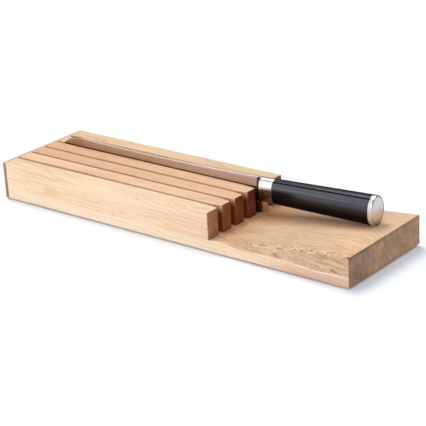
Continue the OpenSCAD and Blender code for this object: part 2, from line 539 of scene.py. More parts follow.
        aslant = across + along * self.slant
        pore = g.noise(along * 0.12 + self._shift, aslant * 1.5, z * 1.7, 2.0, 0.6).rise(0.57, 0.70)
        pore_tone = tuple(c * k for c, k in zip(self.deep, self.pore_tint))
        colour = g.blend(pore * self.pore_depth, colour, pore_tone)
        warm = g.noise(along * 0.012 + 3.0 + self._shift, across * 0.07, z * 0.11, 3.0, 0.55)
        colour = g.blend(warm.rise(0.50, 0.72) * 0.45, colour, self.blush)
        if self.knots:
            colour = g.blend(knots.rise(0.0, 1.0) * 0.52, colour, self.knot_tone)
        if self.heart:
            colour = self._heartwood(g, colour, x, y, z)
        if self.mouth_shade:
            colour = self._wall_shade(g, colour, x, y, z)
        for fade in self.fades:
            colour = fade.over(g, colour, (x, y, z))
        if self.cut is Cut.LONG:
            sawn = x.rise(self.end_at - 0.9, self.end_at - 0.3)
            colour = g.blend(sawn, colour, self._end_grain(g, (x, y, z), late))
        else:
            sawn = y.rise(self.front_y + 0.6, self.front_y + 0.1)
            colour = g.blend(sawn, colour, self._end_grain(g, (y, x, z), late))

        relief = fibre * 0.5 + (1.0 - pore) * 0.5
        rough = 0.46 + pore * 0.12 + (streak - 0.5) * 0.12 + sawn * 0.12
        return {"Base Color": colour, "Roughness": rough, "IOR": 1.42, "Normal": g.bump(relief, 0.35, 0.08)}


@dataclass(frozen=True)
class Steel(Finish):
    """Ground or polished steel with fine scratches that run one way; in a hollow it is duller, and darker
    with a painted dark reflection.
    """

    colour: Colour
    roughness: float
    scratch: tuple[float, float, float] = (0.02, 5.0, 5.0)    # waves per mm along each axis
    scratch_depth: float = 0.001
    hollow: tuple[float, float] | None = None    # where it starts and ends along X
    hollow_top: float = 0.0
    painted_hollow_tone: Colour = (0.07, 0.045, 0.038)
    fades: tuple[Fade, ...] = ()

    def _hollow_share(self, place: tuple[Wire, Wire, Wire]) -> Wire:
        """Where the hollow is.

        Args:
            place: the shaded point, in millimetres.

        Returns:
            1 in the hollow, 0 outside it.
        """
        x, _, z = place
        start, end = self.hollow
        along = x.rise(start, start + 0.5) * x.rise(end, end - 0.8)
        return along * z.rise(self.hollow_top, self.hollow_top - 1.0)

    def sockets(self, g: Graph) -> dict:
        """Scratches: noise drawn out along one axis, in roughness, colour and relief.

        Args:
            g: the material's graph.

        Returns:
            What the shader's sockets get.
        """
        x, y, z = place = g.place()
        lines = g.noise(x * self.scratch[0], y * self.scratch[1], z * self.scratch[2], 3.0, 0.6)
        cloud = g.noise(x * 0.05, y * 0.05, z * 0.05, 2.0, 0.5)
        rough = self.roughness * (0.8 + lines * 0.3 + cloud * 0.1)
        colour = g.blend(lines, scaled(self.colour, 0.96), self.colour)
        for fade in self.fades:
            colour = fade.over(g, colour, place)
        if self.hollow:
            # painted dark reflection in the hollow
            inside = self._hollow_share(place)
            colour = g.blend(inside * 0.9, colour, self.painted_hollow_tone)
            rough = rough + inside * 0.12
        return {"Base Color": colour, "Metallic": 1.0, "Roughness": rough,
                "Normal": g.bump(lines, 0.3, self.scratch_depth)}


@dataclass(frozen=True)
class Moulding(Finish):
    """Smooth moulded plastic or rubber; grain is the depth of its fine texture."""

    colour: Colour
    roughness: float
    grain: float = 0.0

    def sockets(self, g: Graph) -> dict:
        """A faint cloudiness in the gloss and the colour.

        Args:
            g: the material's graph.

        Returns:
            What the shader's sockets get.
        """
        x, y, z = g.place()
        cloud = g.noise(x * 0.08, y * 0.3, z * 0.3, 3.0, 0.6)
        speck = g.noise(x * 2.0, y * 2.0, z * 2.0, 2.0, 0.5)
        colour = g.blend(cloud, self.colour, scaled(self.colour, 1.25))
        return {"Base Color": colour, "Roughness": self.roughness + (cloud - 0.5) * 0.06,
                "Normal": g.bump(speck, 0.2, self.grain)}


@dataclass(frozen=True)
class Grip(Finish):
    """Black moulded grip, glossy on top and dull towards its underside.

    The height of its middle and its half height are each (value at x = 0, rise per mm).
    """

    colour: Colour
    middle_z: tuple[float, float]
    half_h: tuple[float, float]
    # painted sheen: the colour of the upper part, lighter where it faces the lamps
    painted_sheen: Colour = (0.019, 0.015, 0.025)

    def sockets(self, g: Graph) -> dict:
        """Gloss that fades below the middle, with a faint cloudiness; a painted purple-grey sheen on the
        upper part, left out in a dull, dark painted line at the ridge.

        Args:
            g: the material's graph.

        Returns:
            What the shader's sockets get.
        """
        x, y, z = g.place()
        up = (z - x * self.middle_z[1] - self.middle_z[0]) / (x * self.half_h[1] + self.half_h[0])
        cloud = g.noise(x * 0.05, y * 0.5, z * 0.5, 3.0, 0.6)
        # painted dark line at the ridge: no sheen and weaker gloss there
        ridge = up.rise(0.78, 0.82) * up.rise(0.90, 0.86)
        colour = g.blend(up.rise(-0.2, 0.8) * (1.0 - ridge), self.colour, self.painted_sheen)
        top = 1.0 - up.rise(0.84, 0.92) * 0.80
        gloss = up.rise(-0.50, 0.50) * (0.80 + cloud * 0.2) * top * (1.0 - ridge * 0.85)
        return {"Base Color": colour, "Roughness": 0.45 + (cloud - 0.5) * 0.08, "IOR": 1.12,
                "Coat Weight": gloss, "Coat Roughness": 0.17, "Coat IOR": 1.7}


# ---------------------------------------------------------------- surfaces


@dataclass
class Outline:
    """A closed line of points in a plane, with the way each point moves when the line is drawn in."""

    points: np.ndarray
    inward: np.ndarray

    def drawn_in(self, by: np.ndarray) -> np.ndarray:
        """One line of points for each distance: point + inward * distance."""
        return self.points + self.inward * by[:, None, None]


def quarter(steps: int) -> np.ndarray:
    """Angles from 0 to a right angle, in even steps."""
    return np.linspace(0.0, math.pi / 2, steps + 1)


def link(name: str, mesh: bpy.types.Mesh) -> bpy.types.Object:
    """Puts a mesh into the scene as an object at the origin.

    Args:
        name: the object's name.
        mesh: its mesh.

    Returns:
        The object.
    """
    made = bpy.data.objects.new(name, mesh)
    bpy.context.scene.collection.objects.link(made)
    return made


def shell(name: str, rings: np.ndarray, sharp_deg: float = 35.0) -> bpy.types.Object:
    """Skins a stack of closed rings and closes both ends.

    Point (i, j) of the grid is point j of ring i; each four neighbours make a face, and the
    first and last ring are filled. Doubles are merged and all faces turned outwards.

    Args:
        name: the new object's name.
        rings: array of (ring, point, 3), in millimetres.
        sharp_deg: edges that turn more than this stay sharp.

    Returns:
        The object, with its place in its mesh.
    """
    count, size, _ = rings.shape
    i, j = np.meshgrid(np.arange(count - 1), np.arange(size), indexing="ij")
    k = (j + 1) % size
    quads = np.stack([i * size + j, i * size + k, (i + 1) * size + k, (i + 1) * size + j], axis=-1)
    faces = quads.reshape(-1, 4).tolist()
    faces.append(list(range(size))[::-1])
    faces.append(list(range((count - 1) * size, count * size)))
    mesh = bpy.data.meshes.new(name)
    mesh.from_pydata((rings.reshape(-1, 3) * MM).tolist(), [], faces)
    work = bmesh.new()
    work.from_mesh(mesh)
    bmesh.ops.remove_doubles(work, verts=work.verts, dist=1e-7)
    bmesh.ops.recalc_face_normals(work, faces=work.faces)
    work.to_mesh(mesh)
    work.free()
    mesh.shade_smooth()
    mesh.set_sharp_from_angle(angle=math.radians(sharp_deg))
    return link(name, mesh)


def joined(name: str, pieces: list[bpy.types.Object]) -> bpy.types.Object:
    """Puts the meshes of several objects into one, and removes the objects.

    Args:
        name: the new object's name.
        pieces: the objects.

    Returns:
        The new object.
    """
    work = bmesh.new()
    for piece in pieces:
        work.from_mesh(piece.data)
        bpy.data.objects.remove(piece)
    mesh = bpy.data.meshes.new(name)
    work.to_mesh(mesh)
    work.free()
    return link(name, mesh)


def paint(piece: bpy.types.Object, finish: Finish) -> None:
    """Gives a piece one finish in place of any that it has."""
    piece.data.materials.clear()
    piece.data.materials.append(finish.make())


def dress(piece: bpy.types.Object, finish: Finish, slot: str, body: str, *nodes: str) -> None:
    """Finishes a piece, puts it on its body and hides the CAD nodes that it stands for.

    Args:
        piece: the object.
        finish: its finish.
        slot: not used.
        body: the body that it moves with.
        nodes: the CAD nodes that it stands for.
    """
    paint(piece, finish)
    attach(piece, body)
    if nodes:
        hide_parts(*nodes)
    log.info("%s: %d faces, on %s", piece.name, len(piece.data.polygons), body)


def span(node: str) -> tuple[np.ndarray, np.ndarray]:
    """Lowest and highest corner of a CAD node, in millimetres."""
    low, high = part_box(node)
    return np.array(low) / MM, np.array(high) / MM


# ---------------------------------------------------------------- the tray


# Painted shade for the slot walls, and a deeper painted shade for the mouth under the knife.
PAINTED_SLOT_SHADE: Colour = (0.26, 0.080, 0.019)
PAINTED_KNIFE_SHADE: Colour = (0.07, 0.022, 0.007)


@dataclass(frozen=True)
class Wall:
    """A long side of an upright: how far its mouth draws back, and how much its top edge is rounded."""

    flare: float
    weight: float


@dataclass
class Tray:
    """The wooden tray: plank with ramp, two rails, four dividers and a closing strip."""

    edge: float = 0.9          # radius of the outer edges
    slot_edge: float = 0.35    # radius of the edges along the slots
    seam: float = 0.15         # half the groove where uprights and strip meet
    corner: float = 1.1        # radius of the upright corners
    back_corner: float = 4.3   # radius of the tray's left rear corner
    mouth_l: float = 18.0      # length over which a slot's mouth opens
    mouth_flare: float = 1.9   # how far each wall draws back there
    crown: float = 0.9         # how much the ramp bulges at its middle
    hold: float = 0.12         # width of the flat faces beside a round edge
    arc: int = 5               # faces in a rounded edge
    bow: int = 12              # faces along a flared wall
    low: np.ndarray = field(init=False)
    high: np.ndarray = field(init=False)
    step_x: float = field(init=False)
    floor_z: float = field(init=False)
    plain: Wood = field(init=False)

    def __post_init__(self) -> None:
        """Reads the plank's and the front rail's places from the frame."""
        self.low, self.high = span("base_board")
        rail_low, rail_high = span("front_rail")
        self.step_x = rail_high[0]
        self.floor_z = rail_low[2]
        self.plain = Wood("plain wood", front_y=self.low[1], top_z=rail_high[2], end_at=self.step_x)

    # Upright pieces: a plan outline carried up, drawn in round the top edge

    def _side(self, x0: float, x1: float, wall: Wall) -> tuple[np.ndarray, np.ndarray]:
        """Half of an upright's plan as seen from its wall, which lies on v = 0 with the wood at v > 0.

        The wall is straight, then follows a circle that is tangent to it and opens the mouth, and
        ends in a small round corner. A point's inward way is its normal times a weight, which
        goes over from the wall's to the end's round the corner.

        Args:
            x0: where the wall starts.
            x1: the upright's end.
            wall: how the wall is shaped.

        Returns:
            Points and inward ways, each an array of (point, 2).
        """
        run, steps, radius, end = self.corner, 0, 0.0, 0.0
        if wall.flare > 0:
            run, steps = self.mouth_l, self.bow
            radius = (run * run + wall.flare * wall.flare) / (2 * wall.flare)
            end = math.asin((run - self.corner) / (radius - self.corner))
        turn = np.linspace(0.0, end, steps + 1)
        bow = np.stack([x1 - run + radius * np.sin(turn), radius * (1 - np.cos(turn))], -1)
        bow_in = np.stack([-np.sin(turn), np.cos(turn)], -1) * wall.weight
        centre = np.array([x1 - self.corner, radius - (radius - self.corner) * math.cos(end)])
        turn = np.linspace(end, math.pi / 2, self.arc + 1)[1:]
        way = np.stack([np.sin(turn), -np.cos(turn)], -1)
        share = ((turn - end) / (math.pi / 2 - end))[:, None]
        end_weight = 0.8    # the end's top edge is rounded a little less than the outer edges
        corner_in = -way * (wall.weight + (end_weight - wall.weight) * share)
        left, left_in = np.array([[x0, 0.0]]), np.array([[self.seam / self.edge, wall.weight]])
        return (np.concatenate([left, bow, centre + self.corner * way]),
                np.concatenate([left_in, bow_in, corner_in]))

    def _raise(self, name: str, outline: Outline, z0: float, z1: float) -> bpy.types.Object:
        """Carries a plan up and rounds its top edge: inset = r (1 - cos), rise = r sin.

        Args:
            name: the new object's name.
            outline: the plan.
            z0: height of the foot.
            z1: height of the top.

        Returns:
            The object.
        """
        turn = quarter(self.arc)
        top = z1 - self.edge
        inset = np.concatenate([[0.0, 0.0], self.edge * (1 - np.cos(turn)), [self.edge + self.hold]])
        height = np.concatenate([[z0, top - self.hold], top + self.edge * np.sin(turn), [z1]])
        rings = np.empty((len(height), len(outline.points), 3))
        rings[..., :2] = outline.drawn_in(inset)
        rings[..., 2] = height[:, None]
        return shell(name, rings)

    def upright(self, node: str, front: Wall, rear: Wall) -> bpy.types.Object:
        """A rail or divider at its CAD node's place: two half plans, the rear one mirrored.

        Args:
            node: the CAD node.
            front: its front wall.
            rear: its rear wall.

        Returns:
            The object.
        """
        low, high = span(node)
        near, near_in = self._side(low[0], high[0], front)
        far, far_in = self._side(low[0], high[0], rear)
        flip = np.array([1.0, -1.0])
        points = np.concatenate([near + [0, low[1]], (far * flip + [0, high[1]])[::-1]])
        inward = np.concatenate([near_in, (far_in * flip)[::-1]])
        return self._raise(f"{node}_wood", Outline(points, inward), low[2], high[2])

    def strip(self) -> bpy.types.Object:
        """The closing strip: a bar with round outer corners, the rear one larger.

        Returns:
            The object.
        """
        low, high = span("end_strip")
        back, near, seam = self.back_corner, self.corner, self.seam / self.edge
        turn = quarter(self.arc)
        rear = np.stack([low[0] + back - back * np.sin(turn), high[1] - back + back * np.cos(turn)], -1)
        rear_in = np.stack([np.sin(turn), -np.cos(turn)], -1)
        front = np.stack([low[0] + near - near * np.cos(turn), low[1] + near - near * np.sin(turn)], -1)
        front_in = np.stack([np.cos(turn), np.sin(turn)], -1)
        inner = np.array([[high[0], low[1]], [high[0], high[1]]])
        inner_in = np.array([[-seam, 1.0], [-seam, -1.0]])
        points = np.concatenate([inner, rear, front])
        inward = np.concatenate([inner_in, rear_in, front_in])
        return self._raise("end_strip_wood", Outline(points, inward), low[2], high[2])

    # The plank: cross-sections carried along the tray

    def ramp_z(self, x: np.ndarray) -> np.ndarray:
        """Height of the plank's top: level under the slots, then a slope plus a low parabola."""
        t = np.clip((x - self.step_x) / (self.high[0] - self.step_x), 0.0, 1.0)
        return self.floor_z + (self.high[2] - self.floor_z) * t + 4 * self.crown * t * (1 - t)

    def _section_corner(self, radius: np.ndarray, y: np.ndarray, z: np.ndarray, start: float,
                        inset: np.ndarray) -> np.ndarray:
        """One corner of all the plank's sections: an arc of a quarter turn round (y, z).

        Each point is drawn towards the centre by the inset, or past it where the radius is too
        small, and a point hold away on either side keeps the flat faces flat.

        Args:
            radius: the arc's radius in each section.
            y: the centre's place across the tray in each section.
            z: the centre's height in each section.
            start: the angle at which the arc starts.
            inset: how far each section is drawn in.

        Returns:
            Points, an array of (section, point, 2).
        """
        turn = start + quarter(self.arc)
        way = np.stack([np.cos(turn), np.sin(turn)], -1)
        centre = np.stack([y, z], -1)[:, None, :]
        arc = centre + (radius - inset)[:, None, None] * way
        into, out = start + math.pi / 2, start + math.pi
        first = arc[:, :1] - np.array([math.cos(into), math.sin(into)]) * self.hold
        last = arc[:, -1:] + np.array([math.cos(out), math.sin(out)]) * self.hold
        return np.concatenate([first, arc, last], axis=1)

    def plank(self) -> bpy.types.Object:
        """The base board: a rectangle with round corners whose top follows the ramp.

        The top corners have almost no radius under the slots, so the wood is flush with the rails
        there, and reach their full radius just past the step.

        Returns:
            The object.
        """
        x0, y0, z0 = self.low
        x1, y1 = self.high[:2]
        turn = quarter(self.arc)
        ramp = np.linspace(self.step_x, x1 - self.edge - self.hold, 41)
        level = [x0, self.step_x - 30, self.step_x - 0.05]
        x = np.concatenate([level, ramp, x1 - self.edge + self.edge * np.sin(turn), [x1]])
        inset = np.concatenate([np.zeros(len(level) + len(ramp)), self.edge * (1 - np.cos(turn)),
                                [self.edge + self.hold]])
        top = self.ramp_z(x)
        spare = 0.02    # keeps each radius a little larger than it has to be
        r_top = spare + (self.edge + spare) * np.clip((x - self.step_x) / 4.0, 0.0, 1.0)
        r_low = np.full_like(x, self.edge + 2 * spare)
        corners = [self._section_corner(radius, y, z, start, inset) for radius, y, z, start in (
            (r_low, y0 + r_low, z0 + r_low, math.pi),
            (r_low, y1 - r_low, z0 + r_low, math.pi * 1.5),
            (r_top, y1 - r_top, top - r_top, 0.0),
            (r_top, y0 + r_top, top - r_top, math.pi / 2),
        )]
        section = np.concatenate(corners, axis=1)
        rings = np.empty((*section.shape[:2], 3))
        rings[..., 0] = x[:, None]
        rings[..., 1:] = section
        return shell("base_board_wood", rings)

    # Finishes

    def _front_woods(self) -> tuple[Wood, Wood]:
        """Finishes of the plank and the front rail, whose grain runs on from one to the other.

        Returns:
            The plank's and the front rail's.
        """
        knots = (Knot(-131.0, 19.0, 9.0, 4.0), Knot(-45.0, 16.6, 2.5, 1.2), Knot(-57.0, 12.0, 1.8, 0.9),
                 Knot(-27.0, 33.4, 2.5, 1.0), Knot(45.3, 33.6, 0.9, 0.6))
        shared = replace(self.plain, axis_y=-75.0, knots=knots)
        rear, top = self.high[1], self.high[2]
        # On the plank's sawn end: painted light that lifts its lower part, painted shade on its rounded
        # rear and top edges, and darker towards the front.
        ends = (Fade(Axis.Z, 13.0, 6.0, (1.18, 1.18, 1.12)),
                Fade(Axis.Y, rear - 1.9, rear - 1.0, (0.50, 0.46, 0.44)),
                Fade(Axis.Y, -14.0, -34.0, (0.76, 0.74, 0.73)),
                Fade(Axis.Z, top - 2.8, top - 1.9, (0.80, 0.74, 0.68)))
        plank = replace(shared, name="plank wood", end_at=self.high[0], heart=(0.82, 0.785, 0.73), sway=6.0,
                        ring_depth=0.48, pore_depth=0.48, end_fades=ends)
        rail = replace(shared, name="rail wood", mouth_shade=PAINTED_SLOT_SHADE, outer=True, ring_depth=0.30,
                       end_tone=(0.36, 0.166, 0.075),
                       fades=(Fade(Axis.X, -40.0, -120.0, (1.03, 1.065, 1.02)),))
        return plank, rail

    def _back_wood(self) -> Wood:
        """Finish of the back rail, with painted shade on its rounded rear edge.

        Returns:
            The finish.
        """
        rear = self.high[1]
        return replace(self.plain, name="back rail wood", pale=(0.80, 0.58, 0.365), seed=5.0, mouth_shade=PAINTED_SLOT_SHADE,
                       outer=True, end_tone=(0.24, 0.11, 0.055), slot_shade=(0.85, 0.68, 0.55),
                       fades=(Fade(Axis.Y, rear - 1.6, rear - 0.8, (0.82, 0.80, 0.79)),))

    def _divider_woods(self) -> list[Wood]:
        """Finishes of the four dividers from front to rear, each from a strip of its own tone.

        Their sawn ends are darker and redder from front to rear, partly their own tone and partly painted
        shade. The last one's end lies partly in the knife's shadow; it gets a lighter tone, painted light,
        with painted shade at its mouth and a painted shadow along its front edge.

        Returns:
            One finish for each divider.
        """
        straw = replace(self.plain, slant=0.35, mouth_shade=PAINTED_SLOT_SHADE)
        redder = replace(straw, fades=(Fade(Axis.X, -50.0, -160.0, (0.95, 0.91, 0.89)),))
        woods = [
            replace(straw, pale=(0.79, 0.545, 0.34), end_tone=(0.250, 0.078, 0.021),
                    slot_shade=(1.0, 0.84, 0.68)),
            replace(redder, pale=(0.73, 0.455, 0.275), end_tone=(0.185, 0.048, 0.013),
                    slot_shade=(0.80, 0.54, 0.35)),
            replace(redder, pale=(0.74, 0.465, 0.280), end_tone=(0.150, 0.037, 0.011),
                    slot_shade=(1.0, 0.80, 0.60)),
            # painted light in a lighter end tone, painted shade at the mouth and a painted shadow along the
            # end's front edge, under the knife
            replace(straw, pale=(0.76, 0.52, 0.32), end_tone=(0.72, 0.33, 0.145),
                    slot_shade=(0.60, 0.38, 0.24), mouth_shade=PAINTED_KNIFE_SHADE,
                    end_fades=(Fade(Axis.Y, 25.2, 21.8, (0.12, 0.05, 0.03)),)),
        ]
        return [replace(wood, name=f"divider_{n} wood", seed=float(n)) for n, wood in enumerate(woods, 1)]

    def _strip_wood(self) -> Wood:
        """Finish of the closing strip, with a painted bluish-grey sheen and then painted shade round its
        outer edge.

        Returns:
            The finish.
        """
        left = span("end_strip")[0][0]
        return replace(self.plain, name="strip wood", pale=(0.70, 0.45, 0.27), deep=(0.55, 0.32, 0.17),
                       cut=Cut.CROSS, seed=8.0, end_tone=(0.29, 0.175, 0.105),
                       fades=(Fade(Axis.X, left + 3.6, left + 2.2, (0.86, 1.02, 1.20)),
                              Fade(Axis.X, left + 1.5, left + 0.7, (0.70, 0.68, 0.68))))

    def build(self) -> None:
        """Makes and dresses the tray's pieces."""
        outside, slot = Wall(0.0, 1.0), Wall(self.mouth_flare, self.slot_edge / self.edge)
        plank_wood, rail_wood = self._front_woods()
        dress(self.plank(), plank_wood, "plank_wood", "tray", "base_board")
        dress(self.upright("front_rail", outside, slot), rail_wood, "rail_wood", "tray", "front_rail")
        dress(self.upright("back_rail", slot, outside), self._back_wood(), "rail_wood", "tray", "back_rail")
        for number, wood in enumerate(self._divider_woods(), 1):
            node = f"divider_{number}"
            dress(self.upright(node, slot, slot), wood, "divider_wood", "tray", node)
        dress(self.strip(), self._strip_wood(), "strip_wood", "tray", "end_strip")
        rubber = Moulding("pad rubber", (0.035, 0.035, 0.037), 0.7, grain=0.05)
        paint(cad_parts["non_slip_pads"], rubber)


# ---------------------------------------------------------------- the knife


@dataclass
class Knife:
    """The slicing knife: blade with tang, bolster, black grip and end cap."""

    # blade
    blade_t: float = 2.0           # thickness of the plate at the heel
    tip_thinning: float = 0.35     # share of it that is gone at the tip
    edge_t: float = 0.4            # thickness at the cutting edge
    grind: float = 17.0            # height over which the flanks part
    tip_run: float = 30.0          # length of the spine's fall to the tip
    tip_rise: float = 17.0         # height of the tip over the edge
    belly_l: float = 55.0          # length over which the edge rises to the tip
    nose_r: float = 0.12           # radius between flank and spine
    crest_rise: float = 0.39       # how far the spine rises from its front side to its rear
    crest_share: float = 1.70      # how far in that rise goes, in half thicknesses
    rear_rise: float = 0.05        # the same two for its rear side
    rear_share: float = 0.30
    spine_dip: float = 2.8         # depth of the spine's hollow
    dip_share: float = 0.53        # where the hollow is deepest, from the heel to the tip
    tang_front_h: float = 12.0     # height of the tang at the bolster
    tang_rear_h: float = 8.0       # height of the tang at the cap
    # bolster
    shoulder_l: float = 6.5        # length of the shoulder
    shoulder_w: float = 2.6        # its width at the blade
    swell_power: float = 1.7       # how late it swells
    bar_bow_y: float = 0.35        # how square its outline is at the blade, across
    bar_bow_z: float = 0.6         # and upwards
    # handle
    front_w: float = 15.0
    front_h: float = 22.4
    butt_w: float = 19.6
    butt_h: float = 26.8
    proud: float = 0.3             # height of the bolster's top over the spine
    front_bow: float = 0.9         # how square the oval is on its front side
    rear_bow: float = 1.12         # and on its rear side
    ridge_at: float = math.radians(124.0)
    ridge_half: float = math.radians(16.0)
    ridge_proud: float = 1.015
    ridge_soft: float = math.radians(9.0)
    around: int = 180              # points round the handle
    # end cap
    rim: float = 0.55              # size of the rim's rounded edge
    sunk: float = 0.35             # depth of the groove round the disc
    # read from the frame
    y: float = field(init=False)
    tip_x: float = field(init=False)
    heel_x: float = field(init=False)
    bolster_x: float = field(init=False)
    grip_x: float = field(init=False)
    cap_x: float = field(init=False)
    butt_x: float = field(init=False)
    edge_z: float = field(init=False)
    spine_z: float = field(init=False)
    front_z: float = field(init=False)
    butt_z: float = field(init=False)
    block_z: float = field(init=False)

    def __post_init__(self) -> None:
        """Reads the places of the knife's pieces and the top of the slots from the frame."""
        blade_low, blade_high = span("knife_blade")
        bolster_low, _ = span("knife_bolster")
        grip_low, _ = span("knife_handle")
        cap_low, cap_high = span("knife_end_cap")
        self.y = (blade_low[1] + blade_high[1]) / 2
        self.tip_x, self.heel_x = blade_low[0], bolster_low[0]
        self.edge_z, self.spine_z = blade_low[2], blade_high[2]
        self.bolster_x = self.heel_x + self.shoulder_l
        self.grip_x, self.cap_x, self.butt_x = grip_low[0], cap_low[0], cap_high[0]
        self.front_z = self.spine_z + self.proud - self.front_h / 2
        self.butt_z = (cap_low[2] + cap_high[2]) / 2
        self.block_z = span("front_rail")[1][2]

    # The handle: one oval section, carried along and drawn in

    def _along(self, x: np.ndarray, front: float, butt: float) -> np.ndarray:
        """A size that grows evenly from the bolster's front to the butt."""
        return front + (butt - front) * (x - self.bolster_x) / (self.butt_x - self.bolster_x)

    @staticmethod
    def _bowed(value: np.ndarray, bow: np.ndarray | float) -> np.ndarray:
        """Sign times size to a power, the one-axis rule of an oval that isn't quite an ellipse."""
        return np.sign(value) * np.abs(value) ** bow

    def _oval(self, angle: np.ndarray) -> np.ndarray:
        """The oval's points at some angles, for half sizes of 1."""
        bow = np.where(np.cos(angle) < 0, self.front_bow, self.rear_bow)
        return np.stack([self._bowed(np.cos(angle), bow), self._bowed(np.sin(angle), bow)], -1)

    def _unit_section(self) -> np.ndarray:
        """The handle's outline for half sizes of 1: an oval, with two flats that meet at a soft ridge.

        Within ridge_half of the ridge the outline is the straight line from the oval to the
        ridge point; the angle from the ridge is softened near 0 so that the ridge is round.

        Returns:
            Points, an array of (point, 2).
        """
        off = np.linspace(0.0, 2 * math.pi, self.around, endpoint=False)
        oval = self._oval(off + self.ridge_at)
        off = (off + math.pi) % (2 * math.pi) - math.pi
        soft = np.hypot(off, self.ridge_soft) - self.ridge_soft * 0.5
        full = math.hypot(self.ridge_half, self.ridge_soft) - self.ridge_soft * 0.5
        share = np.clip(soft / full, 0.0, 1.0)[:, None]
        ridge = self._oval(np.array(self.ridge_at)) * self.ridge_proud
        before, after = self._oval(self.ridge_at + np.array([-self.ridge_half, self.ridge_half]))
        flats = ridge + (np.where(off[:, None] > 0, after, before) - ridge) * share
        return np.where(np.abs(off)[:, None] < self.ridge_half, flats, oval)

    def _sections(self, x: np.ndarray, inset: np.ndarray) -> np.ndarray:
        """The handle's rings: middle + (half size - inset) * unit outline.

        Args:
            x: places along the handle.
            inset: how far each ring is drawn in.

        Returns:
            Rings, an array of (ring, point, 3).
        """
        unit = self._unit_section()
        width = self._along(x, self.front_w, self.butt_w) / 2 - inset
        height = self._along(x, self.front_h, self.butt_h) / 2 - inset
        z = self._along(x, self.front_z, self.butt_z)
        rings = np.empty((len(x), len(unit), 3))
        rings[..., 0] = x[:, None]
        rings[..., 1] = self.y + width[:, None] * unit[:, 0]
        rings[..., 2] = z[:, None] + height[:, None] * unit[:, 1]
        return rings

    @staticmethod
    def _run(x0: float, x1: float, ease0: float, ease1: float, steps: int) -> tuple[np.ndarray, np.ndarray]:
        """A stretch of the handle with both ends rounded by quarter circles.

        Args:
            x0: where it starts.
            x1: where it ends.
            ease0: radius of the first quarter circle.
            ease1: radius of the last one.
            steps: rings between them.

        Returns:
            Places and insets.
        """
        turn = quarter(4)
        head, head_in = x0 + ease0 * (1 - np.sin(turn[::-1])), ease0 * (1 - np.cos(turn[::-1]))
        tail, tail_in = x1 - ease1 * (1 - np.sin(turn)), ease1 * (1 - np.cos(turn))
        apart = 0.05
        middle = np.linspace(x0 + ease0 + apart, x1 - ease1 - apart, steps)
        return np.concatenate([head, middle, tail]), np.concatenate([head_in, np.zeros(steps), tail_in])

    # The blade: sections from the edge up the front side, over the spine and down the rear side

    def _spine(self, x: np.ndarray | float) -> np.ndarray | float:
        """Height of the spine: heel height less dip (1 - u u), with u = 0 at the lowest place.

        Args:
            x: place or places along the blade.

        Returns:
            The height or heights.
        """
        lowest = self.heel_x - self.dip_share * (self.heel_x - self.tip_x)
        u = (x - lowest) / (self.heel_x - lowest)
        return self.spine_z - self.spine_dip * (1 - u * u)

    def _flank(self, tall: np.ndarray, thin: np.ndarray, drop: float,
               share: float) -> tuple[np.ndarray, np.ndarray]:
        """One side of the blade's sections, from the edge up to the spine.

        Half thickness at a height h over the edge is edge / 2 plus the rest of the half
        thickness times h / grind, up to the full plate. The side ends in a quarter circle, and
        from there the spine rises by drop and is level beyond.

        Args:
            tall: height of each section.
            thin: share of the full thickness of each section.
            drop: how much lower than the spine's top the quarter circle ends.
            share: how far the spine's rise goes in, in half thicknesses.

        Returns:
            Heights over the edge and half thicknesses, each an array of (section, point).
        """
        nose = np.minimum(self.nose_r, tall * 0.1)[:, None]
        lower = np.minimum(drop * thin, tall * 0.2)[:, None]
        straight = tall[:, None] - nose - lower
        side_h = np.linspace(0.0, 1.0, 9) * straight
        half = self.edge_t / 2 + (self.blade_t - self.edge_t) / 2 * np.clip(side_h / self.grind, 0.0, 1.0)
        half = half * thin[:, None]
        turn = quarter(3)[1:]
        arc_h, arc_w = straight + nose * np.sin(turn), half[:, -1:] - nose * (1 - np.cos(turn))
        crest_w = half[:, -1:] * (1 - share * np.array([0.8, 1.0]))
        heights = np.concatenate([side_h, arc_h, tall[:, None] - 0.02, tall[:, None]], axis=1)
        return heights, np.concatenate([half, arc_w, crest_w], axis=1)

    def _plate(self) -> bpy.types.Object:
        """The blade in front of the bolster.

        The spine is a low parabola, less an arc of its own radius at the tip, and the edge rises
        to the tip with the square of the way; the plate thins evenly towards the tip.

        Returns:
            The object.
        """
        run, drop = self.tip_run, self._spine(self.tip_x) - self.edge_z - self.tip_rise
        radius = (run * run + drop * drop) / (2 * drop)
        sweep = math.asin(run / radius) * np.linspace(0.0, 1.0, 33)
        curve = self.tip_x + run - radius * np.sin(sweep)
        belly = np.linspace(self.tip_x + self.belly_l, curve[0], 12)[:-1]
        plain = np.linspace(self.heel_x, belly[0], 16)[:-1]
        x = np.concatenate([plain, belly, curve])
        into = np.clip((self.tip_x + run - x) / radius, 0.0, 1.0)
        top = self._spine(x) - radius * (1 - np.sqrt(1 - into ** 2))
        rise = np.clip(1 - (x - self.tip_x) / self.belly_l, 0.0, 1.0)
        low = self.edge_z + self.tip_rise * rise ** 2
        tall = np.maximum(top - low, 0.02)
        thin = 1.0 - self.tip_thinning * np.clip((self.heel_x - x) / (self.heel_x - self.tip_x), 0.0, 1.0)
        front_h, front_w = self._flank(tall, thin, self.crest_rise, self.crest_share)
        rear_h, rear_w = self._flank(tall, thin, self.rear_rise, self.rear_share)
        heights = np.concatenate([front_h, rear_h[:, ::-1]], axis=1)
        rings = np.empty((*heights.shape, 3))
        rings[..., 0] = x[:, None]
        rings[..., 1] = self.y + np.concatenate([-front_w, rear_w[:, ::-1]], axis=1)
        rings[..., 2] = low[:, None] + heights
        return shell("blade_plate", rings, 25.0)

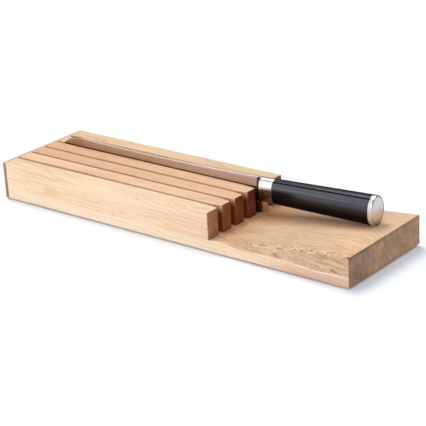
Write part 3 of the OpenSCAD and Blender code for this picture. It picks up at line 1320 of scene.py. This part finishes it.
    def _tang(self) -> bpy.types.Object:
        """The tang: a flat bar along the handle's middle line, lower at the cap.

        Returns:
            The object.
        """
        ends = np.array([self.heel_x, self.cap_x])
        half_h = np.array([self.tang_front_h, self.tang_rear_h])[:, None] / 2
        half_t = self.blade_t / 2
        tang = np.empty((2, 4, 3))
        tang[..., 0] = ends[:, None]
        tang[..., 1] = self.y + np.array([-half_t, half_t, half_t, -half_t])
        middle = self._along(ends, self.front_z, self.butt_z)[:, None]
        tang[..., 2] = middle + half_h * np.array([-1, -1, 1, 1])
        return shell("tang", tang)

    def blade(self) -> bpy.types.Object:
        """The blade and its tang, one piece of steel."""
        return joined("blade_steel", [self._plate(), self._tang()])

    def bolster(self) -> bpy.types.Object:
        """The bolster: a flat bar's outline that swells into the handle's own section.

        Outline = bar + (handle - bar) * t ^ swell_power, with t from 0 at the blade to 1.

        Returns:
            The object.
        """
        t = np.linspace(0.0, 1.0, 21)
        x = self.heel_x + self.shoulder_l * t
        full = self._sections(np.full_like(x, self.bolster_x), np.zeros_like(x))
        unit, half_h = self._unit_section(), self.front_h / 2
        bar = np.empty_like(full)
        bar[..., 1] = self.y + self.shoulder_w / 2 * self._bowed(unit[:, 0], self.bar_bow_y)
        bar[..., 2] = self.spine_z - half_h + half_h * self._bowed(unit[:, 1], self.bar_bow_z)
        shoulder = bar + (full - bar) * (t ** self.swell_power)[:, None, None]
        shoulder[..., 0] = x[:, None]
        apart = 0.05    # from the shoulder's last ring to where the collar starts
        places, inset = self._run(self.bolster_x + apart, self.grip_x, 0.0, 0.12, 10)
        keep = places > self.bolster_x + apart + 0.01
        collar = self._sections(places[keep], inset[keep])
        return shell("bolster_steel", np.concatenate([shoulder, collar]), 30.0)

    def grip(self) -> bpy.types.Object:
        """The black grip between bolster and cap."""
        places, inset = self._run(self.grip_x, self.cap_x, 0.15, 0.15, 40)
        return shell("grip_moulding", self._sections(places, inset), 30.0)

    def _cap_piece(self, name: str, profile: list[tuple[float, float]]) -> bpy.types.Object:
        """A piece of the end cap.

        Args:
            name: the new object's name.
            profile: (place along the handle, inset) of each ring.

        Returns:
            The object.
        """
        x, inset = np.array(profile).T
        return shell(name, self._sections(x, inset), 30.0)

    def cap(self) -> tuple[bpy.types.Object, bpy.types.Object, bpy.types.Object]:
        """The end cap: a polished rim, the satin disc in it and a near-black bed between them, a dark piece
        that paints the shade in the groove.

        Returns:
            Rim, disc and bed.
        """
        start, end, rim = self.cap_x, self.butt_x, self.rim
        sunk = end - self.sunk
        return (
            self._cap_piece("cap_rim", [
                (start, 0.12), (start + 0.03, 0.04), (start + 0.12, 0.0), (start + 1.0, 0.0),
                (end - 1.0, 0.0), (end - rim, 0.0), (end - 0.42 * rim, 0.1), (end - 0.12 * rim, 0.3),
                (end, 0.5), (end, 0.75), (sunk, 0.80), (sunk, 1.4)]),
            self._cap_piece("cap_disc", [
                (end - 0.25, 1.35), (end - 0.1, 1.35), (end - 0.02, 1.42), (end, 1.6)]),
            self._cap_piece("cap_bed", [(sunk, 0.86), (end - 0.25, 0.86)]),
        )

    # Finishes

    def _blade_steel(self) -> Steel:
        """Finish of the blade, with a painted reflection of the wood near it and a painted shadow where it
        enters the slot.

        Returns:
            The finish.
        """
        slot, heel = self.block_z, self.heel_x
        # painted reflection of the wood, changing along the blade
        along = (Fade(Axis.X, 10.0, -150.0, (0.88, 0.84, 0.78)),
                 Fade(Axis.X, 0.0, 40.0, (0.93, 0.91, 0.94)),
                 Fade(Axis.X, -135.0, -165.0, (0.82, 0.72, 0.64)))
        # painted reflection of the wood, darker just above the slots
        mirrored = Fade(Axis.Z, slot + 10.0, slot + 1.0, (0.66, 0.61, 0.56), gone=slot - 3.0)
        spine = Fade(Axis.Y, self.y - 0.95, self.y - 0.82, (1.04, 0.96, 0.86))
        # painted shade on the heel's end, under the bolster
        heel_shade = Fade(Axis.X, heel - 0.12, heel - 0.02, (0.16, 0.08, 0.05))
        # painted shadow where the blade enters the slot
        slot_shadow = Fade(Axis.Z, slot + 0.9, slot + 0.5, (0.15, 0.04, 0.01), gone=slot - 0.6)
        return Steel("blade steel", (0.71, 0.66, 0.685), 0.20, scratch=(6.0, 0.1, 0.25),
                     fades=(*along, mirrored, spine, heel_shade, slot_shadow))

    def _bolster_steel(self) -> Steel:
        """Finish of the bolster, with a painted reflection of the dark slots in its hollow and its lower
        half.

        Returns:
            The finish.
        """
        return Steel("polished steel", (0.74, 0.71, 0.725), 0.20,
                     hollow=(self.heel_x - 0.1, self.heel_x + 5.2), hollow_top=self.spine_z - 0.3,
                     # painted reflection: darker and browner towards the lower half
                     fades=(Fade(Axis.Z, 38.0, 28.0, (0.33, 0.24, 0.21)),))

    def _grip_black(self) -> Grip:
        """Finish of the grip, along its own middle line and half height.

        Returns:
            The finish.
        """
        length = self.butt_x - self.bolster_x
        climb, growth = (self.butt_z - self.front_z) / length, (self.butt_h - self.front_h) / 2 / length
        return Grip("black grip", (0.003, 0.0015, 0.0015), (self.front_z - climb * self.bolster_x, climb),
                    (self.front_h / 2 - growth * self.bolster_x, growth))

    def build(self) -> None:
        """Makes and dresses the knife's pieces."""
        # Painted reflections: the rim darker towards its underside, the disc browner towards its lower
        # part.
        rim_steel = Steel("rim steel", (0.70, 0.69, 0.69), 0.33,
                          fades=(Fade(Axis.Z, 38.0, 28.0, (0.86, 0.84, 0.84)),))
        disc_steel = Steel("satin steel", (0.67, 0.62, 0.58), 0.30,
                           scratch=(0.1, 0.6, 9.0), scratch_depth=0.01,
                           fades=(Fade(Axis.Z, 34.5, 28.0, (0.60, 0.53, 0.48)),))
        dress(self.blade(), self._blade_steel(), "blade_steel", "knife", "knife_blade")
        dress(self.bolster(), self._bolster_steel(), "polished_steel", "knife", "knife_bolster")
        dress(self.grip(), self._grip_black(), "grip_plastic", "knife", "knife_handle")
        rim, disc, bed = self.cap()
        dress(rim, rim_steel, "cap_steel", "knife", "knife_end_cap")
        dress(disc, disc_steel, "cap_steel", "knife")
        # near-black bed: painted shade in the groove round the disc
        dress(bed, Moulding("cap groove shade", (0.012, 0.010, 0.009), 0.8), "cap_steel", "knife")


# ---------------------------------------------------------------- the studio


@dataclass(frozen=True)
class Lamp:
    """A rectangular soft light: its size and place in metres, its power in watts."""

    name: str
    size: tuple[float, float]
    at: tuple[float, float, float]
    power: float
    colour: Colour = WHITE

    def build(self) -> None:
        """Makes the light, turned to the middle of the object."""
        data = bpy.data.lights.new(self.name, "AREA")
        data.shape, data.size, data.size_y = "RECTANGLE", *self.size
        data.energy, data.color = self.power, self.colour
        lamp = bpy.data.objects.new(self.name, data)
        lamp.location = self.at
        aim = Vector((0.05, 0.0, 0.02)) - Vector(self.at)
        lamp.rotation_mode = "QUATERNION"
        lamp.rotation_quaternion = aim.to_track_quat("-Z", "Y")
        bpy.context.scene.collection.objects.link(lamp)


LAMPS = (
    Lamp("key", (1.5, 3.1), (-1.77, -1.74, 1.68), 19.0, (1.0, 0.985, 0.965)),
    Lamp("low", (1.5, 0.75), (-1.95, -2.25, 0.40), 3.0),
    Lamp("top", (1.33, 1.33), (-1.05, 0.60, 2.75), 49.0, (0.98, 0.985, 1.0)),
    Lamp("glint", (0.8, 0.8), (-1.77, 1.20, 2.10), 3.4),
    Lamp("front", (1.4, 1.4), (1.05, -0.75, 2.70), 18.0),
    Lamp("soft", (2.0, 1.2), (0.2, -2.3, 0.8), 20.5),
)


@dataclass
class Studio:
    """Pale floor, soft light and the camera."""

    floor_half: float = 6000.0     # half the floor's side
    floor_drop: float = 0.03       # gap under the pads
    camera_at: tuple[float, float, float] = (810.8, -964.8, 514.2)
    yaw: float = math.radians(39.568)      # turn to the left, from +Y
    pitch: float = math.radians(21.934)    # tilt downwards
    roll: float = math.radians(-3.184)
    lens: float = 130.65
    sensor: float = 36.0

    def camera(self) -> None:
        """Puts the camera at its place, turned by yaw, pitch and roll."""
        level = math.cos(self.pitch)
        look = Vector((-math.sin(self.yaw) * level, math.cos(self.yaw) * level, -math.sin(self.pitch)))
        right = Vector((math.cos(self.yaw), math.sin(self.yaw), 0.0))
        up = right.cross(look)
        cosine, sine = math.cos(self.roll), math.sin(self.roll)
        right, up = right * cosine + up * sine, up * cosine - right * sine
        data = bpy.data.cameras.new("camera")
        data.lens, data.sensor_width = self.lens, self.sensor
        data.clip_start, data.clip_end = 0.05, 60.0
        camera = bpy.data.objects.new("camera", data)
        turn = Matrix((right, up, -look)).transposed().to_4x4()
        camera.matrix_world = Matrix.Translation(Vector(self.camera_at) * MM) @ turn
        bpy.context.scene.collection.objects.link(camera)
        bpy.context.scene.camera = camera

    def floor(self) -> None:
        """A wide pale floor, just under the pads."""
        r, z = self.floor_half * MM, -self.floor_drop * MM
        mesh = bpy.data.meshes.new("floor")
        mesh.from_pydata([(-r, -r, z), (r, -r, z), (r, r, z), (-r, r, z)], [], [(0, 1, 2, 3)])
        sockets = {"Base Color": (0.835, 0.87, 0.935, 1.0), "Roughness": 0.9,
                   "Emission Color": (0.94, 0.96, 1.0, 1.0), "Emission Strength": 0.04}
        mesh.materials.append(finish_material("floor paint", lambda _: sockets))
        link("floor", mesh)

    def sky(self) -> None:
        """Even pale surroundings, which polished pieces see darker than the rest does."""
        world = bpy.data.worlds.new("studio")
        world.use_nodes = True
        bpy.context.scene.world = world
        g = Graph(world.node_tree)
        mirrored = g.add("ShaderNodeLightPath", out="Is Glossy Ray")
        seen = g.add("ShaderNodeLightPath", out="Is Camera Ray")
        fill = g.add("ShaderNodeBackground", None, {0: (0.91, 0.955, 1.0, 1.0), 1: 0.44})
        dim = g.add("ShaderNodeBackground", None, {0: (0.9, 0.92, 1.0, 1.0), 1: 0.14})
        bright = g.add("ShaderNodeBackground", None, {0: (*WHITE, 1.0), 1: 1.0})
        mixed = g.add("ShaderNodeMixShader", None, {0: mirrored, 1: fill, 2: dim})
        mixed = g.add("ShaderNodeMixShader", None, {0: seen, 1: mixed, 2: bright})
        g.add("ShaderNodeOutputWorld", None, {0: mixed})

    def build(self) -> None:
        """Sets up floor, light and camera."""
        bpy.context.scene.view_settings.view_transform = "Standard"
        self.floor()
        self.sky()
        for lamp in LAMPS:
            lamp.build()
        self.camera()


def main() -> None:
    """Builds the tray, the knife and the studio."""
    logging.basicConfig(level=logging.INFO, format="%(name)s %(message)s")
    Tray().build()
    Knife().build()
    Studio().build()


if __name__ == "__main__":
    main()
